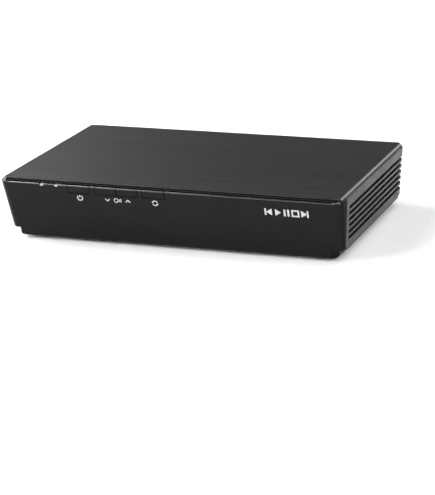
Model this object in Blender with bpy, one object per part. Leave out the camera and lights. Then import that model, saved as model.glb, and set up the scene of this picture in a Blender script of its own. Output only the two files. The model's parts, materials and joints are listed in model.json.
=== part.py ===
"""Streaming media player: a low box with a leaning front, louvred sides and a bevelled top plate.

Every size below is in millimetres; MM turns it into Blender's metres when a mesh is made.
+X is to the right as seen from the front, +Y is towards the rear ports, +Z is up.
The origin is on the table, under the middle of the box that bounds the whole player.
"""

import math

import bmesh
import bpy
from mathutils import Matrix, Vector

MM = 0.001

# Casing
WIDTH = 220.0
DEPTH = 140.0
FRONT_Y = -74.5
BACK_Y = FRONT_Y + DEPTH
ANTENNA_REACH = 8.8
FRONT_LEAN = 0.283
SIDE_TAPER = 0.075
CORNER_RADIUS = 4.5
REAR_RADIUS = 5.0
WALL = 2.0
BEZEL_WALL = 2.2
GAP = 0.35
CORNER_STEPS = 6

# Heights above the table
PLINTH_Z = 2.0
SKIRT_Z = 7.4
NOTCH_Z = 39.1
RIM_Z = 39.8
ROOF_Z = 38.4
PLATE_Z = 40.1
PLATE_THICKNESS = 1.4
PLATE_CHAMFER = 1.1
PLATE_INSET = 1.1
EDGE_ROUND = 1.2

# Front bezel, keys and light windows
BEZEL_RETURN = 6.8
LIP_HALF_WIDTH = 103.4
LIP_RADIUS = 4.0
NOTCH_HALF_WIDTH = 104.5
KEY_BOTTOM_Z = 34.4
KEY_FLANGE_Z = 33.0
KEY_BACKING = 1.3
KEY_POST_RADIUS = 1.3
KEY_SPANS = {
    "power": (-63.9, -49.9),
    "volume_down": (-46.1, -32.6),
    "volume_up": (-32.2, -18.7),
    "input": (-15.3, -1.3),
}
LIGHT_X = {"standby": -81.3, "network": -71.8}
LENS_RADIUS = 1.3
LED_Z = 37.1
SWITCH_Z = 35.4
SWITCH_SIZE = 4.5
SWITCH_FRONT_Y = -65.7
SWITCH_BACK_Y = -62.5
PLUNGER_Y = (-67.2, -64.4)
KEY_BOARD_Y = (-62.2, -60.6)
KEY_BOARD_X = (-92.0, 26.0)
KEY_BOARD_Z = (22.0, 37.9)
RAIL_TOP = 37.3

# Side panels
SIDE_WRAP = 9.0
SLOT_COUNT = 6
SLOT_FIRST_Z = 13.0
SLOT_PITCH = 3.87
SLOT_HEIGHT = 1.9
SLOT_START = 15.5
SLOT_END_MARGIN = 2.5
RIB_COUNT = 5
RIB_WIDTH = 2.0
RIB_REACH = 2.0

# Base tray, posts and screws
TRAY_HALF_WIDTH = 103.0
TRAY_FRONT_Y = -60.9
TRAY_STEP_Y = -56.6
TRAY_STEP = 3.2
TRAY_BACK_Y = BACK_Y - 2.2
TRAY_WALL_TOP = 9.6
TRAY_WALL = 1.6
FLOOR_TOP = 4.0
FLANGE_HALF_WIDTH = 106.6
CASE_SCREWS = ((-97.5, -52.0), (97.5, -52.0), (-97.5, 50.0), (97.5, 50.0))
FEET = ((-82.0, -46.0), (82.0, -46.0), (-82.0, 50.0), (82.0, 50.0))
FOOT_RADIUS = 7.0
FOOT_TOP = PLINTH_Z - 0.3
BOARD_SCREWS = ((-87.0, -43.0), (87.0, -43.0), (-87.0, 14.0), (87.0, 14.0))

# Main board and what stands on it
BOARD_Z = (10.0, 11.6)
BOARD_HALF_WIDTH = 92.5
BOARD_Y = (-48.0, 63.0)
SEAT_Z = BOARD_Z[1] + 0.3
PANEL_THICKNESS = 1.6
PORT_FACE_Y = BACK_Y + 0.4
SHELL = 0.5
CAN_WALL = 0.6
HDMI_X = 20.0
LAN_X = -8.0
USB_X = (-34.0, -52.0)
OPTICAL_X = 42.0
RESET_X = -68.0
DC_X = -86.0
ANTENNA_X = (64.0, 82.0)
ANTENNA_Z = 19.0
ANTENNA_RADIUS = 4.75
DC_Z = 18.4
DC_BORE = 3.2
OPTICAL_Z = 17.0
SHUTTER_HINGE = (64.95, 20.0)
RESET_Z = 14.15

MATERIALS = {
    # name: (red, green, blue, roughness, metallic)
    "brushed_plate": (0.060, 0.060, 0.062, 0.36, 0.85),
    "gloss_black": (0.012, 0.012, 0.013, 0.16, 0.0),
    "satin_grey": (0.050, 0.050, 0.052, 0.45, 0.0),
    "matte_black": (0.018, 0.018, 0.019, 0.60, 0.0),
    "clear_acrylic": (0.80, 0.82, 0.84, 0.12, 0.0),
    "rubber": (0.020, 0.020, 0.020, 0.85, 0.0),
    "screw_steel": (0.42, 0.42, 0.44, 0.32, 1.0),
    "port_steel": (0.62, 0.62, 0.64, 0.26, 1.0),
    "port_plastic": (0.022, 0.022, 0.024, 0.50, 0.0),
    "circuit_board": (0.010, 0.080, 0.045, 0.45, 0.0),
    "chip_black": (0.020, 0.020, 0.022, 0.55, 0.0),
    "heat_sink_aluminium": (0.55, 0.56, 0.58, 0.38, 1.0),
    "thermal_pad": (0.42, 0.47, 0.55, 0.80, 0.0),
    "ribbon": (0.75, 0.76, 0.78, 0.50, 0.0),
    "led_resin": (0.85, 0.83, 0.70, 0.30, 0.0),
}


# ---------------------------------------------------------------- shape helpers


def half_width(z):
    """Half the casing's outer width at height z."""
    return WIDTH / 2 - SIDE_TAPER * (RIM_Z - z)


def front_y(z):
    """The front face's y at height z."""
    return FRONT_Y + FRONT_LEAN * (RIM_Z - z)


def inner_front_y(z):
    """The bezel wall's back face at height z."""
    return front_y(z) + BEZEL_WALL


def arc(cx, cy, radius, start, end, steps=CORNER_STEPS):
    """Points of an arc in a plane, angles in degrees, both ends included."""
    angles = [math.radians(start + (end - start) * i / steps) for i in range(steps + 1)]
    return [(cx + radius * math.cos(a), cy + radius * math.sin(a)) for a in angles]


def rounded_rectangle(x0, x1, y0, y1, radius, steps=CORNER_STEPS):
    """Anticlockwise outline of a rectangle with round corners."""
    return (
        arc(x1 - radius, y0 + radius, radius, -90, 0, steps)
        + arc(x1 - radius, y1 - radius, radius, 0, 90, steps)
        + arc(x0 + radius, y1 - radius, radius, 90, 180, steps)
        + arc(x0 + radius, y0 + radius, radius, 180, 270, steps)
    )


def skin(bm, rings):
    """Joins rings of equal count with quads, and caps the first and last ring."""
    loops = [[bm.verts.new(Vector(p) * MM) for p in ring] for ring in rings]
    count = len(loops[0])
    for low, high in zip(loops, loops[1:]):
        for i in range(count):
            j = (i + 1) % count
            bm.faces.new((low[i], low[j], high[j], high[i]))
    bm.faces.new(loops[0][::-1])
    bm.faces.new(loops[-1])


def add_box(bm, x, y, z):
    """A box between the pairs x, y and z."""
    size = [(high - low) * MM for low, high in (x, y, z)]
    centre = [(high + low) / 2 * MM for low, high in (x, y, z)]
    matrix = Matrix.Translation(centre) @ Matrix.Diagonal((*size, 1.0))
    bmesh.ops.create_cube(bm, size=1.0, matrix=matrix)


def add_cylinder(bm, centre, axis, radius, span, steps=20):
    """A cylinder along axis X, Y or Z. centre gives the two other coordinates, span its ends."""
    turn = {
        "X": Matrix.Rotation(math.radians(90), 4, "Y"),
        "Y": Matrix.Rotation(math.radians(90), 4, "X"),
        "Z": Matrix.Identity(4),
    }[axis]
    place = list(centre)
    place.insert("XYZ".index(axis), (span[0] + span[1]) / 2)
    matrix = Matrix.Translation(Vector(place) * MM) @ turn
    bmesh.ops.create_cone(
        bm,
        cap_ends=True,
        segments=steps,
        radius1=radius * MM,
        radius2=radius * MM,
        depth=(span[1] - span[0]) * MM,
        matrix=matrix,
    )


def add_prism(bm, outline, axis, span):
    """A prism along axis X, Y or Z. The outline is in the two other coordinates, in X, Y, Z order."""
    k = "XYZ".index(axis)

    def lifted(level):
        ring = []
        for a, b in outline:
            point = [a, b]
            point.insert(k, level)
            ring.append(point)
        return ring

    skin(bm, [lifted(span[0]), lifted(span[1])])


def add_wall(bm, levels):
    """A wall along an open path. levels is a list of (z, outer points, inner points)."""
    rings = []
    for z, outer, inner in levels:
        path = list(outer) + list(reversed(inner))
        rings.append([(x, y, z) for x, y in path])
    skin(bm, rings)


def material(name):
    """The named material, made once from the table above."""
    found = bpy.data.materials.get(name)
    if found:
        return found
    red, green, blue, roughness, metallic = MATERIALS[name]
    made = bpy.data.materials.new(name)
    made.use_nodes = True
    made.diffuse_color = (red, green, blue, 1.0)
    shader = made.node_tree.nodes["Principled BSDF"]
    shader.inputs["Base Color"].default_value = (red, green, blue, 1.0)
    shader.inputs["Roughness"].default_value = roughness
    shader.inputs["Metallic"].default_value = metallic
    return made


def mesh_object(name, build, origin=(0.0, 0.0, 0.0)):
    """An object whose mesh build(bm) draws in the player's frame, with its origin at origin."""
    bm = bmesh.new()
    build(bm)
    bmesh.ops.remove_doubles(bm, verts=bm.verts, dist=1e-6)
    bmesh.ops.recalc_face_normals(bm, faces=bm.faces)
    bmesh.ops.translate(bm, verts=bm.verts, vec=-Vector(origin) * MM)
    mesh = bpy.data.meshes.new(name)
    bm.to_mesh(mesh)
    bm.free()
    made = bpy.data.objects.new(name, mesh)
    made.location = Vector(origin) * MM
    bpy.context.scene.collection.objects.link(made)
    return made


def combine(part, operation, build, label):
    """Adds a Boolean to part, with a hidden helper that build(bm) draws."""
    helper = mesh_object(f"{part.name}_{label}", build)
    helper.hide_render = True
    helper.display_type = "WIRE"
    modifier = part.modifiers.new(label, "BOOLEAN")
    modifier.operation = operation
    modifier.solver = "EXACT"
    modifier.object = helper


def solid(name, finish, build, origin=(0.0, 0.0, 0.0), join=None, cuts=()):
    """A named sub-part: a base shape, an optional union and any number of cuts."""
    part = mesh_object(name, build, origin)
    part.data.materials.append(material(finish))
    if join:
        combine(part, "UNION", join, "join")
    for number, cut in enumerate(cuts, 1):
        combine(part, "DIFFERENCE", cut, f"cut_{number}")
    part.data.shade_smooth()
    part.data.set_sharp_from_angle(angle=math.radians(30))
    return part


# ---------------------------------------------------------------- casing


def bezel_path(z, inset, reach, radius):
    """The bezel's plan line at height z, from its right end round the front to its left end."""
    width = reach - inset
    front = front_y(z) + inset
    end = front_y(z) + BEZEL_RETURN
    bend = radius - inset
    right = arc(width - bend, front + bend, bend, 0, -90)
    left = arc(-width + bend, front + bend, bend, -90, -180)
    return [(width, end)] + right + left + [(-width, end)]


def bezel_levels():
    """Heights, edge rounding and reach of the bezel, from its narrow lip to its rim."""
    lip = (LIP_HALF_WIDTH, LIP_RADIUS)
    levels = [(PLINTH_Z, 0.4, lip), (PLINTH_Z + 0.4, 0.0, lip), (SKIRT_Z - 0.4, 0.0, lip)]
    levels += [(z, inset, (half_width(z), CORNER_RADIUS)) for z, inset in rim_rounding(SKIRT_Z)]
    return [
        (z, bezel_path(z, inset, *shape), bezel_path(z, BEZEL_WALL, *shape))
        for z, inset, shape in levels
    ]


def rim_rounding(bottom):
    """(height, inset) pairs from a bottom edge up over the rounded top edge."""
    half = EDGE_ROUND * (1 - math.sqrt(0.5))
    return [
        (bottom, 0.0),
        (RIM_Z - EDGE_ROUND, 0.0),
        (RIM_Z - half, half),
        (RIM_Z, EDGE_ROUND),
    ]


def leaning_prism(bm, x, low, high, front, back):
    """A prism across x between two heights, whose front and back faces lean with the bezel."""
    outline = [
        (front_y(low) + front, low),
        (front_y(low) + back, low),
        (front_y(high) + back, high),
        (front_y(high) + front, high),
    ]
    add_prism(bm, outline, "X", x)


def build_front_bezel():
    across_wall = (FRONT_Y - 2.0, FRONT_Y + BEZEL_WALL + 3.0)

    def rails(bm):
        for x in (KEY_BOARD_X[0] - 3.2, KEY_BOARD_X[1] - 1.2):
            outline = [
                (front_y(KEY_BOARD_Z[0]) + 1.0, KEY_BOARD_Z[0] - 1.5),
                (KEY_BOARD_Y[1] + 2.0, KEY_BOARD_Z[0] - 1.5),
                (KEY_BOARD_Y[1] + 2.0, RAIL_TOP),
                (front_y(RAIL_TOP) + 1.0, RAIL_TOP),
            ]
            add_prism(bm, outline, "X", (x, x + 4.4))

    def rail_slots(bm):
        y = (KEY_BOARD_Y[0] - 0.3, KEY_BOARD_Y[1] + 0.3)
        add_box(bm, (KEY_BOARD_X[0] - 0.4, KEY_BOARD_X[1] + 0.4), y, (KEY_BOARD_Z[0] - 0.3, RIM_Z))

    def notch(bm):
        y = (FRONT_Y - 2.0, FRONT_Y + BEZEL_RETURN - 1.0)
        add_box(bm, (-NOTCH_HALF_WIDTH, NOTCH_HALF_WIDTH), y, (NOTCH_Z, RIM_Z + 1.0))

    def key_openings(bm):
        low, high = KEY_SPANS["volume_down"][0], KEY_SPANS["volume_up"][1]
        for span in (KEY_SPANS["power"], (low, high), KEY_SPANS["input"]):
            x = (span[0] - GAP, span[1] + GAP)
            add_box(bm, x, across_wall, (KEY_BOTTOM_Z - GAP, NOTCH_Z + 1.0))

    def light_openings(bm):
        for x in LIGHT_X.values():
            add_cylinder(bm, (x, NOTCH_Z), "Y", LENS_RADIUS + 0.3, across_wall, 16)

    solid(
        "front_bezel",
        "gloss_black",
        lambda bm: add_wall(bm, bezel_levels()),
        join=rails,
        cuts=(rail_slots, notch, key_openings, light_openings),
    )


def side_path(z, inset, start, wrap):
    """The right side panel's plan line at height z, from front to back and round the rear corner."""
    width = half_width(z) - inset
    bend = REAR_RADIUS - inset
    corner = arc(half_width(z) - REAR_RADIUS, BACK_Y - REAR_RADIUS, bend, 0, 90)
    return [(width, start)] + corner + [(half_width(z) - wrap, BACK_Y - inset)]


def build_side_panel(name, side):
    """side is 1 for the right panel and -1 for its mirror image on the left."""

    def mirrored(points):
        return [(side * x, y) for x, y in points]

    def wall(bm):
        levels = []
        for z, inset in rim_rounding(SKIRT_Z):
            start = front_y(z) + BEZEL_RETURN + GAP
            outer = side_path(z, inset, start, SIDE_WRAP)
            inner = side_path(z, WALL, start, SIDE_WRAP)
            levels.append((z, mirrored(outer), mirrored(inner)))
        add_wall(bm, levels)

    def ribs(bm):
        first = front_y(SKIRT_Z) + SLOT_START
        pitch = (BACK_Y - REAR_RADIUS - first) / RIB_COUNT
        low, high = SLOT_FIRST_Z - 3.0, RIM_Z - 4.0
        for i in range(RIB_COUNT):
            y = first + pitch * (i + 0.5)
            outline = []
            for z, depth in ((low, 0.5), (low, -RIB_REACH), (high, -RIB_REACH), (high, 0.5)):
                outline.append((side * (half_width(z) - WALL + depth), z))
            add_prism(bm, outline, "Y", (y, y + RIB_WIDTH))

    def slots(bm):
        for i in range(SLOT_COUNT):
            middle = SLOT_FIRST_Z + SLOT_PITCH * i
            start = front_y(middle) + SLOT_START
            wrap = SIDE_WRAP - SLOT_END_MARGIN
            levels = []
            for z in (middle - SLOT_HEIGHT / 2, middle + SLOT_HEIGHT / 2):
                outer = side_path(z, -1.0, start, wrap)
                inner = side_path(z, WALL + 0.6, start, wrap)
                levels.append((z, mirrored(outer), mirrored(inner)))
            add_wall(bm, levels)

    solid(name, "satin_grey", wall, join=ribs, cuts=(slots,))


def build_roof_frame():
    def slab(bm):
        edge = half_width(ROOF_Z) - WALL - 0.4
        outline = rounded_rectangle(-edge, edge, FRONT_Y + 6.0, BACK_Y - WALL - 0.3, 3.5)
        add_prism(bm, outline, "Z", (ROOF_Z, RIM_Z))

    def pillars(bm):
        for place in CASE_SCREWS:
            add_cylinder(bm, place, "Z", 3.7, (13.4, ROOF_Z + 0.5))

    def holes(bm):
        for place in CASE_SCREWS:
            add_cylinder(bm, place, "Z", 1.8, (13.0, 23.0), 16)

    solid("roof_frame", "matte_black", slab, join=pillars, cuts=(holes,))


def build_top_plate():
    def plate(bm):
        top = PLATE_Z + PLATE_THICKNESS
        rings = []
        for z, inset in ((PLATE_Z, 0.0), (top - PLATE_CHAMFER, 0.0), (top, PLATE_CHAMFER)):
            edge = WIDTH / 2 - PLATE_INSET - inset
            margin = PLATE_INSET + inset
            outline = rounded_rectangle(
                -edge, edge, FRONT_Y + margin, BACK_Y - margin, CORNER_RADIUS - margin, 8
            )
            rings.append([(x, y, z) for x, y in outline])
        skin(bm, rings)

    solid("top_plate", "brushed_plate", plate)


def build_base_tray():
    def tub_outline(inset):
        """The tub's plan, a little narrower in front where the bezel's lip wraps round it."""
        wide = TRAY_HALF_WIDTH - inset
        narrow = wide - TRAY_STEP
        front, step, back = TRAY_FRONT_Y + inset, TRAY_STEP_Y + inset, TRAY_BACK_Y - inset
        half = [(narrow, front), (narrow, step), (wide, step), (wide, back)]
        return half + [(-x, y) for x, y in reversed(half)]

    def tub(bm):
        add_prism(bm, tub_outline(0.0), "Z", (PLINTH_Z, TRAY_WALL_TOP))

    def flange(bm):
        outline = rounded_rectangle(
            -FLANGE_HALF_WIDTH, FLANGE_HALF_WIDTH, TRAY_STEP_Y, BACK_Y - 0.4, 4.0
        )
        add_prism(bm, outline, "Z", (SKIRT_Z - 2.0, SKIRT_Z - 0.3))

    def cavity(bm):
        add_prism(bm, tub_outline(TRAY_WALL), "Z", (FLOOR_TOP, TRAY_WALL_TOP + 1.0))

    def posts(bm):
        for place in CASE_SCREWS:
            add_cylinder(bm, place, "Z", 4.0, (PLINTH_Z + 1.0, 13.0))
        for place in BOARD_SCREWS:
            add_cylinder(bm, place, "Z", 3.0, (PLINTH_Z + 1.0, BOARD_Z[0] - 0.3), 16)

    def screw_holes(bm):
        for place in CASE_SCREWS:
            add_cylinder(bm, place, "Z", 1.8, (PLINTH_Z - 1.0, 14.0), 16)
        for place in BOARD_SCREWS:
            add_cylinder(bm, place, "Z", 1.5, (5.0, 11.0), 12)

    def counterbores(bm):
        for place in CASE_SCREWS:
            add_cylinder(bm, place, "Z", 3.4, (PLINTH_Z - 1.0, 4.6))

    def vents(bm):
        for side in (-1, 1):
            for i in range(9):
                x = side * (18.0 + 6.0 * i)
                outline = rounded_rectangle(x - 1.2, x + 1.2, -34.0, -6.0, 1.19, 3)
                add_prism(bm, outline, "Z", (PLINTH_Z - 1.0, FLOOR_TOP + 0.5))

    tray = solid("base_tray", "matte_black", tub, join=flange, cuts=(cavity,))
    combine(tray, "UNION", posts, "posts")
    combine(tray, "DIFFERENCE", screw_holes, "screw_holes")
    combine(tray, "DIFFERENCE", counterbores, "counterbores")
    combine(tray, "DIFFERENCE", vents, "vents")


def build_rear_panel():
    def plate(bm):
        outline = []
        for side, z in ((-1, SKIRT_Z), (1, SKIRT_Z), (1, RIM_Z), (-1, RIM_Z)):
            outline.append((side * (half_width(z) - SIDE_WRAP - GAP), z))
        add_prism(bm, outline, "Y", (BACK_Y - PANEL_THICKNESS, BACK_Y))

    through = (BACK_Y - PANEL_THICKNESS - 1.0, BACK_Y + 1.0)

    def port_windows(bm):
        for x, width, top in PORT_WINDOWS:
            x_span = (x - width / 2 - 0.4, x + width / 2 + 0.4)
            add_box(bm, x_span, through, (SEAT_Z - 0.4, top + 0.4))
        for x in ANTENNA_X:
            add_cylinder(bm, (x, ANTENNA_Z), "Y", ANTENNA_RADIUS + 0.4, through, 24)
        add_cylinder(bm, (RESET_X, RESET_Z), "Y", 0.9, through, 12)

    def vents(bm):
        for i in range(27):
            x = -58.5 + 4.5 * i
            outline = rounded_rectangle(x - 0.9, x + 0.9, 29.5, 36.5, 0.89, 2)
            add_prism(bm, outline, "Y", through)

    solid("rear_panel", "matte_black", plate, cuts=(port_windows, vents))


# ---------------------------------------------------------------- feet and screws


def build_feet():
    for number, (x, y) in enumerate(FEET, 1):
        def foot(bm, x=x, y=y):
            rings = []
            levels = ((0.0, FOOT_RADIUS - 0.5), (0.5, FOOT_RADIUS), (FOOT_TOP, FOOT_RADIUS))
            for z, radius in levels:
                rings.append([(px, py, z) for px, py in arc(x, y, radius, 0, 345, 23)])
            skin(bm, rings)

        solid(f"foot_{number}", "rubber", foot, origin=(x, y, 0.0))


def build_screws():
    """Case screws come up from below; board screws go down into the tray's posts."""
    for number, (x, y) in enumerate(CASE_SCREWS, 1):
        solid(
            f"case_screw_{number}",
            "screw_steel",
            lambda bm, x=x, y=y: add_cylinder(bm, (x, y), "Z", 3.0, (2.4, 4.3), 16),
            join=lambda bm, x=x, y=y: add_cylinder(bm, (x, y), "Z", 1.5, (4.0, 22.0), 12),
        )
    for number, (x, y) in enumerate(BOARD_SCREWS, 1):
        head = (SEAT_Z, SEAT_Z + 1.6)
        solid(
            f"board_screw_{number}",
            "screw_steel",
            lambda bm, x=x, y=y: add_cylinder(bm, (x, y), "Z", 2.6, head, 16),
            join=lambda bm, x=x, y=y: add_cylinder(bm, (x, y), "Z", 1.2, (6.0, SEAT_Z + 0.4), 12),
        )


# ---------------------------------------------------------------- front controls


def build_key(name, span):
    """One push key, its switch's plunger and the switch on the key board."""
    middle = sum(span) / 2

    def cap(bm):
        back = BEZEL_WALL + KEY_BACKING
        outline = [
            (front_y(KEY_BOTTOM_Z), KEY_BOTTOM_Z),
            (inner_front_y(KEY_BOTTOM_Z) + GAP, KEY_BOTTOM_Z),
            (inner_front_y(KEY_FLANGE_Z) + GAP, KEY_FLANGE_Z),
            (front_y(KEY_FLANGE_Z) + back, KEY_FLANGE_Z),
            (front_y(NOTCH_Z) + back, NOTCH_Z),
            (front_y(NOTCH_Z), NOTCH_Z),
        ]
        add_prism(bm, outline, "X", span)

    def post(bm):
        y = (front_y(SWITCH_Z) + BEZEL_WALL, PLUNGER_Y[0] - 0.3)
        add_cylinder(bm, (middle, SWITCH_Z), "Y", KEY_POST_RADIUS, y, 14)

    def housing(bm):
        half = SWITCH_SIZE / 2
        x = (middle - half, middle + half)
        add_box(bm, x, (SWITCH_FRONT_Y, SWITCH_BACK_Y), (SWITCH_Z - half, SWITCH_Z + half))

    def bore(bm):
        add_cylinder(bm, (middle, SWITCH_Z), "Y", 1.8, (SWITCH_FRONT_Y - 1.0, -63.2), 16)

    origin = (middle, front_y(SWITCH_Z), SWITCH_Z)
    solid(f"{name}_key", "gloss_black", cap, origin=origin, join=post)
    solid(
        f"{name}_plunger",
        "port_plastic",
        lambda bm: add_cylinder(bm, (middle, SWITCH_Z), "Y", 1.4, PLUNGER_Y, 16),
        origin=origin,
    )
    solid(f"{name}_switch", "screw_steel", housing, cuts=(bore,))


def build_light(name, x):
    """A half-round lens in the bezel's top edge, on a light pipe that starts at an LED."""

    def lens(bm):
        outline = arc(x, NOTCH_Z, LENS_RADIUS, 180, 360, 10)
        add_prism(bm, outline, "Y", (front_y(NOTCH_Z - 0.6), -70.0))

    def pipe(bm):
        add_box(bm, (x - 0.9, x + 0.9), (-71.0, -63.8), (LED_Z - 0.9, LED_Z + 1.1))

    def led(bm):
        add_box(bm, (x - 1.0, x + 1.0), (-63.5, -62.5), (LED_Z - 0.7, LED_Z + 0.7))

    solid(f"{name}_light_pipe", "clear_acrylic", lens, join=pipe)
    solid(f"{name}_led", "led_resin", led)


def build_key_board():
    solid(
        "key_board",
        "circuit_board",
        lambda bm: add_box(bm, KEY_BOARD_X, KEY_BOARD_Y, KEY_BOARD_Z),
    )

    def receiver(bm):
        add_box(bm, (12.0, 18.0), (-66.0, -62.5), (26.5, 34.0))

    def lens(bm):
        add_cylinder(bm, (15.0, 30.5), "Y", 2.2, (-67.6, -65.0), 16)

    solid("infrared_receiver", "chip_black", receiver, join=lens)


def build_ribbon_cable():
    """A flat cable from the key board's back down to the main board, one smooth bend each way."""
    thickness = 0.3
    middle = [(-60.15, 34.0), (-60.15, 26.0)]
    middle += arc(-54.15, 21.0, 6.0, 180, 240, 6)
    middle += arc(-48.0, 20.05, 8.0, 245, 270, 3)
    middle += [(-38.0, 12.05)]
    outer, inner = [], []
    for i, point in enumerate(middle):
        before = Vector(middle[max(i - 1, 0)])
        after = Vector(middle[min(i + 1, len(middle) - 1)])
        along = (after - before).normalized()
        side = Vector((-along.y, along.x)) * thickness / 2
        outer.append(tuple(Vector(point) + side))
        inner.append(tuple(Vector(point) - side))
    solid(
        "ribbon_cable",
        "ribbon",
        lambda bm: add_prism(bm, outer + inner[::-1], "X", (-44.0, -28.0)),
    )


# ---------------------------------------------------------------- main board


def build_main_board():
    def board(bm):
        outline = rounded_rectangle(-BOARD_HALF_WIDTH, BOARD_HALF_WIDTH, *BOARD_Y, 2.0, 3)
        add_prism(bm, outline, "Z", BOARD_Z)

    def holes(bm):
        for place in BOARD_SCREWS:
            add_cylinder(bm, place, "Z", 1.6, (BOARD_Z[0] - 1.0, BOARD_Z[1] + 1.0), 12)

    solid("main_board", "circuit_board", board, cuts=(holes,))


def build_processor():
    """The main chip, its thermal pad and the finned heat sink on top."""
    chip = (SEAT_Z, SEAT_Z + 1.2)
    pad = (chip[1] + 0.3, chip[1] + 1.1)
    sink = pad[1] + 0.3

    def fins(bm):
        for i in range(8):
            x = -19.0 + 5.2 * i
            add_box(bm, (x, x + 1.6), (-30.0, 10.0), (sink + 1.5, sink + 14.0))

    solid("main_chip", "chip_black", lambda bm: add_box(bm, (-8.5, 8.5), (-18.5, -1.5), chip))
    solid("thermal_pad", "thermal_pad", lambda bm: add_box(bm, (-8.5, 8.5), (-18.5, -1.5), pad))
    solid(
        "heat_sink",
        "heat_sink_aluminium",
        lambda bm: add_box(bm, (-20.0, 20.0), (-30.0, 10.0), (sink, sink + 2.0)),
        join=fins,
    )
    for number, y in enumerate((-22.0, -6.0), 1):
        solid(
            f"memory_chip_{number}",
            "chip_black",
            lambda bm, y=y: add_box(bm, (26.0, 38.0), (y, y + 9.0), (SEAT_Z, SEAT_Z + 1.1)),
        )


def build_power_and_radio():
    solid(
        "power_capacitor",
        "chip_black",
        lambda bm: add_cylinder(bm, (-70.0, 42.0), "Z", 4.0, (SEAT_Z, SEAT_Z + 11.0), 20),
    )
    solid(
        "power_inductor",
        "chip_black",
        lambda bm: add_box(bm, (-62.0, -54.0), (30.0, 38.0), (SEAT_Z, SEAT_Z + 4.2)),
    )
    solid(
        "wireless_module",
        "port_steel",
        lambda bm: add_box(bm, (56.0, 71.0), (-40.0, -28.0), (SEAT_Z, SEAT_Z + 2.4)),
    )
    solid(
        "wireless_antenna",
        "circuit_board",
        lambda bm: leaning_prism(bm, (52.0, 90.0), 15.0, 27.0, BEZEL_WALL + 0.3, BEZEL_WALL + 1.1),
    )


# ---------------------------------------------------------------- rear ports


def hdmi_outline(inset):
    """A flat socket outline with its two lower corners cut off."""
    half, low, high = 7.5 - inset, SEAT_Z + inset, SEAT_Z + 6.0 - inset
    cut = 2.0 - 0.4 * inset
    return [
        (HDMI_X - half + cut, low),
        (HDMI_X + half - cut, low),
        (HDMI_X + half, low + cut),
        (HDMI_X + half, high),
        (HDMI_X - half, high),
        (HDMI_X - half, low + cut),
    ]


def build_hdmi_port():
    def shell(bm):
        add_prism(bm, hdmi_outline(0.0), "Y", (52.0, PORT_FACE_Y))

    def cavity(bm):
        add_prism(bm, hdmi_outline(SHELL), "Y", (56.0, PORT_FACE_Y + 1.0))

    def tongue(bm):
        z = (SEAT_Z + 2.6, SEAT_Z + 3.8)
        add_box(bm, (HDMI_X - 5.6, HDMI_X + 5.6), (55.0, PORT_FACE_Y - 2.0), z)

    port = solid("hdmi_port", "port_steel", shell, cuts=(cavity,))
    combine(port, "UNION", tongue, "tongue")


def build_usb_port(name, x):
    low, high = SEAT_Z, SEAT_Z + 6.2

    def shell(bm):
        add_box(bm, (x - 6.8, x + 6.8), (50.0, PORT_FACE_Y), (low, high))

    def cavity(bm):
        z = (low + SHELL, high - SHELL)
        add_box(bm, (x - 6.8 + SHELL, x + 6.8 - SHELL), (53.0, PORT_FACE_Y + 1.0), z)

    def tongue(bm):
        z = (high - SHELL - 2.4, high - SHELL - 0.6)
        add_box(bm, (x - 5.5, x + 5.5), (52.0, PORT_FACE_Y - 1.2), z)

    port = solid(name, "port_steel", shell, cuts=(cavity,))
    combine(port, "UNION", tongue, "tongue")


def build_lan_port():
    def body(bm):
        add_box(bm, (LAN_X - 8.0, LAN_X + 8.0), (49.0, PORT_FACE_Y), (SEAT_Z, SEAT_Z + 13.4))

    def cavity(bm):
        outline = [
            (LAN_X - 3.1, SEAT_Z + 1.2),
            (LAN_X + 3.1, SEAT_Z + 1.2),
            (LAN_X + 3.1, SEAT_Z + 3.2),
            (LAN_X + 6.0, SEAT_Z + 3.2),
            (LAN_X + 6.0, SEAT_Z + 10.6),
            (LAN_X - 6.0, SEAT_Z + 10.6),
            (LAN_X - 6.0, SEAT_Z + 3.2),
            (LAN_X - 3.1, SEAT_Z + 3.2),
        ]
        add_prism(bm, outline, "Y", (53.5, PORT_FACE_Y + 1.0))

    solid("lan_port", "port_steel", body, cuts=(cavity,))


def build_optical_port():
    def body(bm):
        x = (OPTICAL_X - 5.0, OPTICAL_X + 5.0)
        add_box(bm, x, (52.0, PORT_FACE_Y), (SEAT_Z, SEAT_Z + 10.2))

    def cavity(bm):
        x = (OPTICAL_X - 3.4, OPTICAL_X + 3.4)
        add_box(bm, x, (56.5, PORT_FACE_Y + 1.0), (OPTICAL_Z - 3.4, OPTICAL_Z + 3.6))

    def flap(bm):
        y, z = SHUTTER_HINGE
        add_box(bm, (OPTICAL_X - 3.0, OPTICAL_X + 3.0), (y - 0.35, y + 0.35), (z - 6.0, z + 0.25))

    solid("optical_port", "port_plastic", body, cuts=(cavity,))
    solid("optical_shutter", "matte_black", flap, origin=(OPTICAL_X, *SHUTTER_HINGE))


def build_dc_jack():
    def body(bm):
        add_box(bm, (DC_X - 4.6, DC_X + 4.6), (51.5, PORT_FACE_Y), (SEAT_Z, SEAT_Z + 11.0))

    def bore(bm):
        add_cylinder(bm, (DC_X, DC_Z), "Y", DC_BORE, (56.5, PORT_FACE_Y + 1.0), 24)

    def pin(bm):
        add_cylinder(bm, (DC_X, DC_Z), "Y", 1.0, (55.5, PORT_FACE_Y - 1.5), 12)

    jack = solid("dc_jack", "port_plastic", body, cuts=(bore,))
    combine(jack, "UNION", pin, "pin")


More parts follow.
